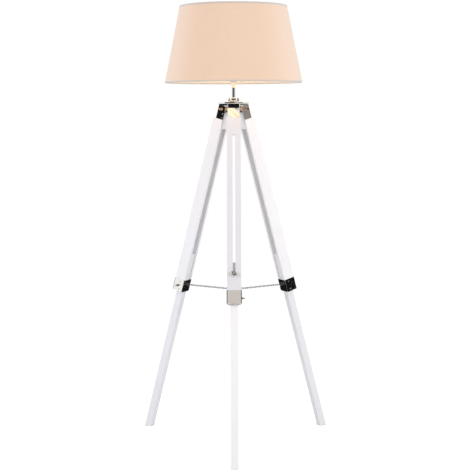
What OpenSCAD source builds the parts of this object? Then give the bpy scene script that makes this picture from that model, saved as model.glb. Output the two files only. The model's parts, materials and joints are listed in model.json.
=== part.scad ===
// Tripod floor lamp with telescopic wooden legs, a polished hub, a chain spreader and a tapered drum shade.
// Millimetres, +Z up. The origin is on the floor under the lamp's axis, and the front leg points along -Y.

/* [Stance] */
// Slope of a spread leg from the vertical, in degrees
leg_tilt = 15.9; // [15:0.1:16.5]
// Height of the leg pivots above the floor
pivot_z = 1106.5; // [1090:0.5:1130]
// Distance of each leg pivot from the lamp's axis
pivot_r = 38; // [37:0.5:40]

/* [Upper legs] */
// Width of an upper leg, across the lamp's radius
leg_w = 45; // [44:0.5:46]
// Depth of an upper leg, along the lamp's radius
leg_d = 36; // [36:0.5:38]
// Distance from the pivot to the lower end of an upper leg
leg_end = 639; // [636:1:644]
// Width of the channel that the lower leg runs in
channel_w = 26; // [25.6:0.2:27]
// Depth of that channel, from the leg's inner face
channel_d = 27; // [26.8:0.2:27.4]
// Distance from the pivot to the top of the channel
channel_top = 64; // [60:1:70]
// Width of the long slot in the outer face
slot_w = 8.5; // [8:0.1:9]
// Distance from the pivot to the top of the slot
slot_top = 90; // [86:1:96]
// Distance from the pivot to the bottom of the slot
slot_end = 549; // [548:1:552]

/* [Lower legs] */
// Side of a lower leg's square section
bar_w = 24; // [23.5:0.1:24.2]
// Distance from the pivot to the top end of a lower leg
bar_top = 506; // [500:1:512]
// Distance from the pivot to the sliding bolt
wing_at = 543; // [540:1:544]

/* [Brackets] */
// Thickness of the folded brackets' sheet
sheet_t = 1.5; // [1.4:0.1:1.6]
// Outside width of a top bracket
top_w = 40; // [40:0.5:41]
// Distance from the pivot down to a top bracket's lower edge
top_end = 33; // [32:0.5:35]
// Distance from the pivot down to a clamp bracket's upper edge
clamp_top = 596; // [592:1:598]
// Distance from the pivot down to the eye screw
eye_at = 611.5; // [610:0.5:613]

/* [Hub] */
// Diameter of the round hub plate
plate_d = 100; // [98:1:102]
// Thickness of the hub plate
plate_t = 6; // [5:0.5:7]
// Height of the hub plate's underside above the pivots
plate_rise = 17; // [17:0.5:18]
// Width of the yoke's arms and lugs
lug_w = 36; // [35:0.5:36]

/* [Neck and lamp holder] */
// Outside diameter of the neck tube
neck_d = 13; // [12.5:0.1:13.5]
// Height of the neck tube's upper end
neck_top = 1203; // [1200:1:1206]
// Outside diameter of the lamp holder
holder_d = 39; // [38.5:0.5:40]

/* [Shade] */
// Diameter of the shade's bottom edge
shade_bottom_d = 450; // [440:1:460]
// Diameter of the shade's top edge
shade_top_d = 349; // [340:1:360]
// Height of the shade's bottom edge above the floor
shade_low = 1192; // [1190:1:1194]
// Height of the shade
shade_h = 248; // [240:1:255]

/* [Chain] */
// Diameter of a chain link's wire
link_wire = 1.6; // [1.4:0.1:1.7]
// Links in each length of chain
link_count = 20; // [20:2:20]
// How far the middle ring hangs below the eye screws
ring_drop = 2.5; // [2:0.5:4]

/* [Hidden] */

$fn = 72;
// Small overlap that joins two shapes of one solid
JOIN = 0.02;
// A cutter that is longer than anything it cuts
LONG = 3000;

// Directions of the three legs, seen from above
FRONT = -90;
RIGHT = 30;
LEFT = 150;
LEGS = [FRONT, RIGHT, LEFT];

// Half sizes that the leg modules share
leg_out = leg_d / 2;
leg_half = leg_w / 2;
wall_in = channel_d - leg_out;

// Top bracket: the leg's top is cut down to a tenon that it wraps
tenon_w = top_w - 2 * sheet_t;
tenon_out = 9.5;
wood_screw_r = 1.5;
top_screws = [14, 27];
clamp_screws = [605, 631];
wood_top = 9.5;
flange_top = 12.5;
clamp_end = leg_end;
guide_x = 16;
flange_in = guide_x + sheet_t;

// Pivot bolts
bolt_r = 3;
bolt_hole_r = bolt_r + 0.1;
bolt_bore_r = bolt_r + 0.04;
bolt_head_r = 4.5;
bolt_head_h = 8;
bolt_nut_h = 10;
lug_r = 8;

// Hub stack, from the arms up to the neck
plate_low = pivot_z + plate_rise;
plate_high = plate_low + plate_t;
arm_t = 6;
arm_low = plate_low - arm_t;
hub_bore_r = 7;
screw_r = 2.5;
screw_circle_r = 16.6;
screw_angles = [-30, 90, 210];
base_r = 21;
base_t = 3;
base_high = plate_high + base_t;
collar_r = 8.2;
waist_r = 7.5;
tube_r = neck_d / 2;
tube_bore_r = tube_r + 0.05;
tube_wall = 1;

// Lamp holder and bulb
holder_r = holder_d / 2;
holder_low = neck_top - 8;
cap_high = holder_low + 14;
holder_high = holder_low + 58;
holder_wall = 2.2;
sleeve_r = 14.6;
bulb_cap_r = 13;
bulb_r = 30;
bulb_z = holder_high + 36;
washer_z = holder_low + 40;
ring_r = 27;
ring_h = 8;

// Shade
shade_high = shade_low + shade_h;
bottom_r = shade_bottom_d / 2;
top_r = shade_top_d / 2;
liner_t = 0.5;
cover_t = 0.7;
wire_r = 1.75;
washer_t = 1.5;

// Sliding bolt, wing nut and thumb screw
bar_x = wall_in - 0.5 - bar_w / 2;
slide_r = 3;
slide_from = bar_x + bar_w / 2 - 16;
slide_gap = 0.3;
washer_r = 7;
washer_out = leg_out + slide_gap + sheet_t;
wing_low = washer_out + 0.2;
wing_r = 5.2;
wing_h = 7;
wing_reach = 10.5;
wing_t = 2.4;
thumb_r = 2.5;
thumb_at = 620;
thumb_x = 2;

// Eye screw and chain
eye_ring_r = 4.5;
eye_wire_r = 1.2;
eye_x = -25;
ring_mean_r = 8.5;
link_mean_r = 2.2;
link_gap = 0.15;
link_r = link_wire / 2;

function leg_point_r(x, s) = pivot_r + s * sin(leg_tilt) + x * cos(leg_tilt);
function leg_point_z(x, s) = pivot_z - s * cos(leg_tilt) + x * sin(leg_tilt);

eye_r = leg_point_r(eye_x, eye_at);
eye_z = leg_point_z(eye_x, eye_at);
chain_ring_z = eye_z - ring_drop;
chain_angle = atan(ring_drop / (eye_r - ring_mean_r));
wire_to_link = eye_wire_r + link_r + link_gap;
chain_from = eye_ring_r - wire_to_link;
chain_to = norm([eye_r - ring_mean_r, ring_drop]) + wire_to_link;
link_overlap = link_wire + 0.2;
link_pitch = (chain_to - chain_from - link_overlap) / link_count;
link_length = link_pitch + link_overlap;

// ---------------------------------------------------------------- frames and shared shapes

// Places its children on a leg: X points outwards, Y across the leg and -Z down the leg from the pivot
module on_leg(azimuth) {
    rotate([0, 0, azimuth])
        translate([pivot_r, 0, pivot_z])
            rotate([0, -leg_tilt, 0])
                children();
}

// A box from two corners
module box(low, high) {
    translate(low) cube(high - low);
}

// A tube or ring standing on z = 0
module tube(outer_r, inner_r, height) {
    difference() {
        cylinder(r = outer_r, h = height);
        translate([0, 0, -1]) cylinder(r = inner_r, h = height + 2);
    }
}

// A round wire bent to a ring about Z
module wire_ring(mean_r, wire_radius) {
    rotate_extrude() translate([mean_r, 0]) circle(r = wire_radius, $fn = 24);
}

// A six-sided nut or head across flats, standing on z = 0
module hexagon(across_flats, height) {
    cylinder(d = across_flats / cos(30), h = height, $fn = 6);
}

// ---------------------------------------------------------------- hub

// Three arms under the plate, each ending in a lug that a leg hangs on
module hub_yoke() {
    color("silver")
        difference() {
            union() {
                for (azimuth = LEGS) {
                    rotate([0, 0, azimuth]) {
                        box([0, -lug_w / 2, arm_low], [pivot_r + lug_r, lug_w / 2, plate_low]);
                        box([pivot_r - lug_r, -lug_w / 2, pivot_z],
                            [pivot_r + lug_r, lug_w / 2, arm_low + JOIN]);
                        translate([pivot_r, lug_w / 2, pivot_z])
                            rotate([90, 0, 0]) cylinder(r = lug_r, h = lug_w);
                    }
                }
            }
            for (azimuth = LEGS)
                rotate([0, 0, azimuth])
                    translate([pivot_r, LONG / 2, pivot_z])
                        rotate([90, 0, 0]) cylinder(r = bolt_bore_r, h = LONG);
            translate([0, 0, arm_low - 1]) cylinder(r = hub_bore_r, h = arm_t + 2);
            for (angle = screw_angles)
                rotate([0, 0, angle])
                    translate([screw_circle_r, 0, arm_low - 1]) cylinder(r = screw_r + 0.1, h = arm_t + 2);
        }
}

// The round plate that caps the hub, with an eased rim
module hub_plate() {
    rim = 1.2;
    color("silver")
        difference() {
            translate([0, 0, plate_low])
                rotate_extrude($fn = 120)
                    polygon([[hub_bore_r, 0], [plate_d / 2 - rim, 0], [plate_d / 2, rim],
                             [plate_d / 2, plate_t - rim], [plate_d / 2 - rim, plate_t],
                             [hub_bore_r, plate_t]]);
            for (angle = screw_angles)
                rotate([0, 0, angle])
                    translate([screw_circle_r, 0, plate_low - 1])
                        cylinder(r = screw_r + 0.1, h = plate_t + 2);
        }
}

// Three screws that clamp the yoke, the plate and the neck's base together
module hub_screws() {
    head_h = 2.5;
    color("gainsboro")
        for (angle = screw_angles)
            rotate([0, 0, angle])
                translate([screw_circle_r, 0, arm_low - head_h]) {
                    cylinder(r = 4.2, h = head_h);
                    cylinder(r = screw_r, h = base_high + 9.5 - arm_low + head_h);
                }
}

// The nuts on those screws
module hub_nuts() {
    color("gainsboro")
        for (angle = screw_angles)
            rotate([0, 0, angle])
                translate([screw_circle_r, 0, base_high])
                    difference() {
                        hexagon(7, 4);
                        translate([0, 0, -1]) cylinder(r = screw_r + 0.03, h = 6);
                    }
}

// The bush under the hub that a mains cord enters through
module cord_grommet() {
    lip = 1.5;
    color("dimgray")
        translate([0, 0, arm_low - lip])
            difference() {
                union() {
                    cylinder(r = hub_bore_r + 2.5, h = lip);
                    cylinder(r = hub_bore_r - 0.05, h = lip + arm_t + plate_t - 1);
                }
                translate([0, 0, -1]) cylinder(r = 3.8, h = LONG);
            }
}

// The turned foot of the neck: a flange with a collar
module neck_base() {
    color("silver")
        difference() {
            translate([0, 0, plate_high])
                rotate_extrude()
                    polygon([[5, 0], [base_r, 0], [base_r, base_t - 1], [base_r - 1, base_t], [10, base_t],
                             [waist_r, base_t + 3], [waist_r, base_t + 4.4], [collar_r, base_t + 4.8],
                             [collar_r, base_t + 7.6], [tube_r + 0.4, base_t + 8],
                             [tube_bore_r, base_t + 8], [tube_bore_r, 2], [5, 2]]);
            for (angle = screw_angles)
                rotate([0, 0, angle])
                    translate([screw_circle_r, 0, plate_high - 1])
                        cylinder(r = screw_r + 0.1, h = base_t + 2);
        }
}

// The straight tube that carries the lamp holder
module neck_tube() {
    color("silver")
        translate([0, 0, plate_high + 2]) tube(tube_r, tube_r - tube_wall, neck_top - plate_high - 2);
}

// ---------------------------------------------------------------- lamp holder, shade and bulb

// The dome that closes the lamp holder on the neck
module holder_cap() {
    color("white")
        translate([0, 0, holder_low])
            rotate_extrude()
                polygon([[tube_bore_r, 0], [12, 0], [15.5, 2], [holder_r, 9], [holder_r, 14],
                         [holder_r - holder_wall, 14], [holder_r - holder_wall, 9.8], [14.6, 4.4],
                         [tube_bore_r, 4.4]]);
}

// The holder's skirt, with the shoulder that the shade's washer rests on
module holder_body() {
    body_r = ring_r - 7.2;
    shoulder_z = washer_z - cap_high - 0.05;
    color("white")
        translate([0, 0, cap_high])
            rotate_extrude()
                polygon([[holder_r - holder_wall, 0], [holder_r, 0], [holder_r, 16], [23, 18],
                         [23, shoulder_z], [body_r, shoulder_z], [body_r, 44], [body_r - holder_wall, 44],
                         [body_r - holder_wall, 18], [holder_r - holder_wall, 16]]);
}

// The insulating block that holds the contacts
module socket_insert() {
    color("ivory")
        translate([0, 0, cap_high + 1])
            difference() {
                cylinder(r = holder_r - holder_wall - 0.05, h = 8);
                translate([0, 0, -1]) cylinder(r = 3, h = 10);
            }
}

// The threaded metal sleeve that the bulb screws into
module socket_sleeve() {
    color("goldenrod")
        translate([0, 0, cap_high + 9]) tube(sleeve_r, sleeve_r - 0.8, 30);
}

// The washer, its three sprung arms and the shade's bottom wire, welded into one piece
module shade_carrier() {
    arm_r = 1.5;
    wire_z = shade_low + wire_r + 0.5;
    wire_mean = bottom_r - liner_t - cover_t - wire_r - 0.9;
    run = wire_mean - ring_r + 2;
    rise = washer_z - wire_z;
    color("white") {
        translate([0, 0, wire_z])
            rotate_extrude($fn = 144) translate([wire_mean, 0]) circle(r = wire_r, $fn = 24);
        translate([0, 0, washer_z]) tube(ring_r, ring_r - 6.5, washer_t);
        for (angle = screw_angles)
            rotate([0, 0, angle])
                translate([wire_mean, 0, wire_z])
                    rotate([0, -atan(run / rise), 0])
                        cylinder(r = arm_r, h = norm([run, rise]));
    }
}

// The wire that stretches the shade's top edge
module shade_top_wire() {
    color("white")
        translate([0, 0, shade_high - wire_r - 0.5])
            rotate_extrude($fn = 144)
                translate([top_r - liner_t - cover_t - wire_r - 0.9, 0]) circle(r = wire_r, $fn = 24);
}

// A tapered sheet round the shade, its outside set in from the shade's outline
module shade_skin(inset, thickness) {
    translate([0, 0, shade_low])
        rotate_extrude($fn = 180)
            polygon([[bottom_r - inset - thickness, 0], [bottom_r - inset, 0], [top_r - inset, shade_h],
                     [top_r - inset - thickness, shade_h]]);
}

// The clear plastic lining that the fabric is laminated on
module shade_liner() {
    color("white") shade_skin(cover_t, liner_t);
}

// The fabric of the shade
module shade_cover() {
    color("antiquewhite") shade_skin(0, cover_t);
}

// The threaded ring that clamps the shade's washer on the lamp holder
module shade_ring() {
    color("white")
        translate([0, 0, washer_z + washer_t + 0.3])
            difference() {
                tube(ring_r - 0.5, ring_r - 6.8, ring_h);
                for (angle = [0 : 15 : 345])
                    rotate([0, 0, angle])
                        translate([ring_r + 0.3, 0, 2]) cylinder(r = 1.5, h = ring_h, $fn = 24);
            }
}

// The opal globe of the bulb
module bulb_globe() {
    neck_z = holder_high + 1.5;
    color("white")
        difference() {
            union() {
                translate([0, 0, bulb_z]) sphere(r = bulb_r);
                translate([0, 0, neck_z]) cylinder(r = 16, h = bulb_z - neck_z - 10);
            }
            translate([0, 0, bulb_z]) sphere(r = bulb_r - 1.2);
            translate([0, 0, neck_z - 1]) cylinder(r = 14.8, h = bulb_z - neck_z);
        }
}

// The bulb's screw cap with its centre contact
module bulb_cap() {
    cap_low = cap_high + 12;
    color("silver")
        translate([0, 0, cap_low]) {
            cylinder(r = 5, h = 3 + JOIN);
            translate([0, 0, 3]) cylinder(r = bulb_cap_r, h = 27);
            translate([0, 0, 30 - JOIN]) cylinder(r = 14.7, h = holder_high + 1.5 + 4 - cap_low - 30);
        }
}

// ---------------------------------------------------------------- pivots

// One bolt through each lug and the bracket that hangs on it
module pivot_bolts() {
    head_y = -top_w / 2 - 0.3;
    color("gainsboro")
        for (azimuth = LEGS)
            rotate([0, 0, azimuth])
                translate([pivot_r, head_y, pivot_z])
                    rotate([-90, 0, 0]) {
                        translate([0, 0, -bolt_head_h]) cylinder(r = bolt_head_r, h = bolt_head_h);
                        cylinder(r = bolt_r, h = top_w + 0.6 + bolt_nut_h - 2);
                    }
}

// The domed nuts on those bolts
module pivot_nuts() {
    color("gainsboro")
        for (azimuth = LEGS)
            rotate([0, 0, azimuth])
                translate([pivot_r, top_w / 2 + 0.3, pivot_z])
                    rotate([-90, 0, 0])
                        difference() {
                            union() {
                                hexagon(8, bolt_nut_h - 4);
                                intersection() {
                                    translate([0, 0, bolt_nut_h - 4]) sphere(r = 4);
                                    cylinder(r = 4.1, h = bolt_nut_h + 1);
                                }
                            }
                            translate([0, 0, -1]) cylinder(r = bolt_bore_r, h = 1 + bolt_nut_h - 2 + 0.04);
                        }
}

// ---------------------------------------------------------------- upper legs

// The wooden upper leg: a tenon at the top, a channel on the inner side and a slot through the outer face
module upper_leg(azimuth) {
    color("white")
        on_leg(azimuth)
            difference() {
                union() {
                    box([-leg_out, -leg_half, -leg_end], [leg_out, leg_half, -top_end]);
                    box([-leg_out, -tenon_w / 2, -top_end - JOIN], [tenon_out, tenon_w / 2, -wood_top]);
                }
                box([-leg_out - 1, -channel_w / 2, -leg_end - 1], [wall_in, channel_w / 2, -channel_top]);
                box([-LONG, -LONG / 2, -leg_end - 1], [-guide_x, LONG / 2, -clamp_top - 0.5]);
                translate([0, 0, -slot_top - slot_w / 2]) rotate([0, 90, 0]) cylinder(d = slot_w, h = LONG);
                translate([0, 0, -slot_end + slot_w / 2]) rotate([0, 90, 0]) cylinder(d = slot_w, h = LONG);
                box([0, -slot_w / 2, -slot_end + slot_w / 2], [LONG, slot_w / 2, -slot_top - slot_w / 2]);
                for (top = [true, false], screw = wood_screws(top))
                    wood_screw_at(screw) cylinder(r = wood_screw_r, h = 8.5);
                thumb_place() translate([0, 0, -1]) cylinder(r = thumb_r + 0.3, h = 20);
            }
}

// The folded bracket that wraps the tenon and hangs on the hub
module top_bracket(azimuth) {
    color("silver")
        on_leg(azimuth)
            difference() {
                union() {
                    for (side = [-1, 1])
                        box([-leg_out, side > 0 ? tenon_w / 2 : -top_w / 2, -top_end],
                            [tenon_out + sheet_t, side > 0 ? top_w / 2 : -tenon_w / 2, flange_top]);
                    box([tenon_out, -top_w / 2, -top_end], [tenon_out + sheet_t, top_w / 2, 0]);
                }
                translate([0, LONG / 2, 0]) rotate([90, 0, 0]) cylinder(r = bolt_hole_r, h = LONG);
                for (screw = wood_screws(true))
                    wood_screw_at(screw) translate([0, 0, -3]) cylinder(r = wood_screw_r, h = 8);
            }
}

// Wood screws of the top bracket (true) or of the clamp bracket: distance down the leg, X, Y and side
function wood_screws(top) = [
    for (side = [-1, 1], along = top ? top_screws : clamp_screws)
        top ? [along, -11, side * tenon_w / 2, side] : [along, -4.5, side * leg_half, side]
];

// Moves a shape to a wood screw, its axis pointing into the leg from the leg's side face
module wood_screw_at(screw) {
    translate([screw[1], screw[2], -screw[0]]) rotate([screw[3] * 90, 0, 0]) children();
}

// The wood screws of one leg, with low domed heads
module bracket_screws(azimuth) {
    color("gainsboro")
        on_leg(azimuth)
            for (top = [true, false], screw = wood_screws(top))
                wood_screw_at(screw)
                    translate([0, 0, -sheet_t]) {
                        cylinder(r = wood_screw_r - 0.02, h = 9);
                        translate([0, 0, -1]) cylinder(r = 2.8, h = 1);
                    }
}

// Places a shape at the thumb screw, its axis pointing into the leg from the side face
module thumb_place() {
    translate([thumb_x, leg_half, -thumb_at]) rotate([90, 0, 0]) children();
}

// The folded bracket round the foot of the upper leg
module clamp_bracket(azimuth) {
    color("silver")
        on_leg(azimuth)
            difference() {
                union() {
                    for (side = [-1, 1])
                        box([-flange_in, side > 0 ? leg_half : -leg_half - sheet_t, -clamp_end],
                            [leg_out + sheet_t, side > 0 ? leg_half + sheet_t : -leg_half, -clamp_top]);
                    box([leg_out, -leg_half - sheet_t, -clamp_end],
                        [leg_out + sheet_t, leg_half + sheet_t, -clamp_top]);
                }
                for (screw = wood_screws(false))
                    wood_screw_at(screw) translate([0, 0, -3]) cylinder(r = wood_screw_r, h = 8);
                thumb_place() translate([0, 0, -5]) cylinder(r = thumb_r + 0.3, h = 10);
            }
}

// The plate across the channel's mouth, let into the leg's inner face, with rounded lower corners
module guide_plate(azimuth) {
    corner = 6;
    half = leg_half - 0.1;
    low = clamp_end + 1;
    high = clamp_top + 1;
    color("silver")
        on_leg(azimuth)
            difference() {
                union() {
                    box([-guide_x - sheet_t, -half, -low + corner], [-guide_x, half, -high]);
                    box([-guide_x - sheet_t, -half + corner, -low],
                        [-guide_x, half - corner, -low + corner + JOIN]);
                    for (side = [-1, 1])
                        translate([-guide_x - sheet_t, side * (half - corner), -low + corner])
                            rotate([0, 90, 0]) cylinder(r = corner, h = sheet_t);
                }
                translate([-guide_x - 5, 0, -eye_at]) rotate([0, 90, 0]) cylinder(r = 1.55, h = 10);
            }
}

// The eye that the chain hooks on, its shank riveted flush in the guide plate
module eye_screw(azimuth) {
    face = -guide_x - sheet_t;
    color("silver")
        on_leg(azimuth)
            translate([0, 0, -eye_at]) {
                translate([eye_x, 0, 0]) rotate([90, 0, 0]) wire_ring(eye_ring_r, eye_wire_r);
                translate([eye_x + eye_ring_r, 0, 0])
                    rotate([0, 90, 0]) cylinder(r = 1.5, h = -eye_x - eye_ring_r - guide_x + 0.2);
                translate([face - 1.5, 0, 0]) rotate([0, 90, 0]) cylinder(r = 3.2, h = 1.5);
            }
}

// ---------------------------------------------------------------- lower legs

// The square lower leg, its foot cut flat on the floor
module lower_leg(azimuth) {
    color("white")
        difference() {
            on_leg(azimuth)
                difference() {
                    box([bar_x - bar_w / 2, -bar_w / 2, -1.1 * pivot_z],
                        [bar_x + bar_w / 2, bar_w / 2, -bar_top]);
                    translate([slide_from - JOIN, 0, -wing_at])
                        rotate([0, 90, 0]) cylinder(r = slide_r + 0.04, h = bar_w);
                }
            translate([-LONG / 2, -LONG / 2, -LONG]) cube(LONG);
        }
}

// The hanger bolt that the lower leg slides and clamps with, screwed into its outer face
module slide_bolt(azimuth) {
    color("gainsboro")
        on_leg(azimuth)
            translate([slide_from, 0, -wing_at])
                rotate([0, 90, 0]) cylinder(r = slide_r, h = wing_low + wing_h + 2 - slide_from);
}

// The washer between the wing nut and the leg
module slide_washer(azimuth) {
    color("gainsboro")
        on_leg(azimuth)
            translate([leg_out + slide_gap, 0, -wing_at])
                rotate([0, 90, 0]) tube(washer_r, slide_r + 0.04, sheet_t);
}

// The wing nut that locks the slide
module wing_nut(azimuth) {
    color("silver")
        on_leg(azimuth)
            translate([wing_low, 0, -wing_at])
                rotate([0, 90, 0])
                    rotate([0, 0, azimuth == FRONT ? 55 : 15])
                        difference() {
                            union() {
                                cylinder(r = wing_r, h = wing_h);
                                winged(wing_reach, 4.5, wing_h - 1.5, wing_t);
                            }
                            translate([0, 0, -1]) cylinder(r = slide_r + 0.3, h = wing_h + 12);
                        }
}

// Two rounded ears either side of a knob's axis
module winged(reach, ear_r, ear_z, thickness) {
    ear_x = reach - ear_r;
    for (side = [-1, 1])
        translate([side * ear_x, thickness / 2, ear_z])
            rotate([90, 0, 0]) cylinder(r = ear_r, h = thickness);
    box([-ear_x, -thickness / 2, 1], [ear_x, thickness / 2, ear_z]);
}

// The thumb screw in the clamp bracket
module thumb_screw(azimuth) {
    color("silver")
        on_leg(azimuth)
            thumb_place()
                rotate([180, 0, 0]) {
                    translate([0, 0, sheet_t + 0.3]) cylinder(r = 4, h = 3);
                    translate([0, 0, sheet_t + 2.3]) rotate([0, 0, 20]) winged(6.5, 3.5, 3.6, 2);
                    translate([0, 0, -leg_half + channel_w / 2 + 0.4])
                        cylinder(r = thumb_r, h = leg_half - channel_w / 2 + sheet_t + 1);
                }
}

// ---------------------------------------------------------------- chain spreader

// One link, its long axis along X and its first end at the origin
module chain_link() {
    straight = link_length - 2 * link_mean_r;
    for (end = [0, 1])
        translate([link_mean_r + end * straight, 0, 0])
            rotate([0, 0, end > 0 ? -90 : 90])
                rotate_extrude(angle = 180, $fn = 32)
                    translate([link_mean_r, 0]) circle(r = link_r, $fn = 16);
    for (side = [-1, 1])
        translate([link_mean_r, side * link_mean_r, 0])
            rotate([0, 90, 0]) cylinder(r = link_r, h = straight, $fn = 16);
}

// A taut length of chain from an eye screw to the middle ring
module chain(azimuth) {
    color("gray")
        rotate([0, 0, azimuth])
            translate([eye_r, 0, eye_z])
                rotate([0, 180 - chain_angle, 0])
                    for (i = [0 : link_count - 1])
                        translate([chain_from + i * link_pitch, 0, 0])
                            rotate([i % 2 * 90, 0, 0]) chain_link();
}

// The ring that joins the three chains under the hub
module chain_ring() {
    color("gray") translate([0, 0, chain_ring_z]) wire_ring(ring_mean_r, eye_wire_r);
}

hub_yoke();
hub_plate();
hub_screws();
hub_nuts();
cord_grommet();
neck_base();
neck_tube();
holder_cap();
holder_body();
socket_insert();
socket_sleeve();
shade_carrier();
shade_top_wire();
shade_liner();
shade_cover();
shade_ring();
bulb_globe();
bulb_cap();
pivot_bolts();
pivot_nuts();
chain_ring();
upper_leg(FRONT);  // upper_leg_front
upper_leg(RIGHT);  // upper_leg_right
upper_leg(LEFT);  // upper_leg_left
top_bracket(FRONT);  // top_bracket_front
top_bracket(RIGHT);  // top_bracket_right
top_bracket(LEFT);  // top_bracket_left
bracket_screws(FRONT);  // bracket_screws_front
bracket_screws(RIGHT);  // bracket_screws_right
bracket_screws(LEFT);  // bracket_screws_left
clamp_bracket(FRONT);  // clamp_bracket_front
clamp_bracket(RIGHT);  // clamp_bracket_right
clamp_bracket(LEFT);  // clamp_bracket_left
guide_plate(FRONT);  // guide_plate_front
guide_plate(RIGHT);  // guide_plate_right
guide_plate(LEFT);  // guide_plate_left
eye_screw(FRONT);  // eye_screw_front
eye_screw(RIGHT);  // eye_screw_right
eye_screw(LEFT);  // eye_screw_left
lower_leg(FRONT);  // lower_leg_front
lower_leg(RIGHT);  // lower_leg_right
lower_leg(LEFT);  // lower_leg_left
slide_bolt(FRONT);  // slide_bolt_front
slide_bolt(RIGHT);  // slide_bolt_right
slide_bolt(LEFT);  // slide_bolt_left
slide_washer(FRONT);  // slide_washer_front
slide_washer(RIGHT);  // slide_washer_right
slide_washer(LEFT);  // slide_washer_left
wing_nut(FRONT);  // wing_nut_front
wing_nut(RIGHT);  // wing_nut_right
wing_nut(LEFT);  // wing_nut_left
thumb_screw(FRONT);  // thumb_screw_front
thumb_screw(RIGHT);  // thumb_screw_right
thumb_screw(LEFT);  // thumb_screw_left
chain(FRONT);  // chain_front
chain(RIGHT);  // chain_right
chain(LEFT);  // chain_left
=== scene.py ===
"""Looks of a tripod floor lamp: white telescopic legs, polished hub, chain spreader and lit drum shade."""

import json
import logging
import math
from dataclasses import dataclass, field
from enum import Enum
from typing import Callable, ClassVar, Optional, Sequence

import bmesh
import bpy
from mathutils import Matrix, Vector


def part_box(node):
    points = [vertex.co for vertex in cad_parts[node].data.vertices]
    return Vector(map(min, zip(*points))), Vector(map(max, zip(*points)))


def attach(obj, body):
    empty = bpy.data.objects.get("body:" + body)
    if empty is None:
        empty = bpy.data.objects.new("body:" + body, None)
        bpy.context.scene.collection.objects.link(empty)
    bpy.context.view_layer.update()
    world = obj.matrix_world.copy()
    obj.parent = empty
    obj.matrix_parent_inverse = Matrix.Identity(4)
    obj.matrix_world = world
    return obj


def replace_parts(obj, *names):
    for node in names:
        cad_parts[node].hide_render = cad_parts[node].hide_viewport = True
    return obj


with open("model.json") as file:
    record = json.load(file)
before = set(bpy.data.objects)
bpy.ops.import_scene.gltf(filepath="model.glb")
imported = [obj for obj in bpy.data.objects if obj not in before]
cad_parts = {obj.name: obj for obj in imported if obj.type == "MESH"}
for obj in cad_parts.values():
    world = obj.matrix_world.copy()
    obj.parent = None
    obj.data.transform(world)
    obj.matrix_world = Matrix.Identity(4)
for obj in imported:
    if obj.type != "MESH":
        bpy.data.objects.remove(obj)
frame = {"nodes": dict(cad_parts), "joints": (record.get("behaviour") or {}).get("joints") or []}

log = logging.getLogger("lamp")
IDENTITY = Matrix.Identity(4)
BULB_HEIGHT = 1.289
Colour = tuple[float, float, float]
Point = tuple[float, float, float]
Profile = Sequence[tuple[float, float]]
EdgeTest = Callable[[Vector, Vector], bool]
Rounding = tuple[float, int, Optional[EdgeTest]]


class Side(Enum):
    """The three legs, named as they stand round the lamp."""

    FRONT = "front"
    RIGHT = "right"
    LEFT = "left"


class Slot(Enum):
    """The record's material slots that new pieces take their finish from."""

    CHROME = "chrome"
    ZINC = "zinc"
    CHAIN = "chain_steel"
    WOOD = "white_wood"
    FABRIC = "fabric"
    LINING = "lining"
    WIRE = "white_wire"
    PLASTIC = "white_plastic"
    IVORY = "ivory_plastic"
    DARK = "dark_plastic"
    BRASS = "brass"
    NICKEL = "nickel"
    OPAL = "opal_glass"


# ---------------------------------------------------------------- shader nodes


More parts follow.
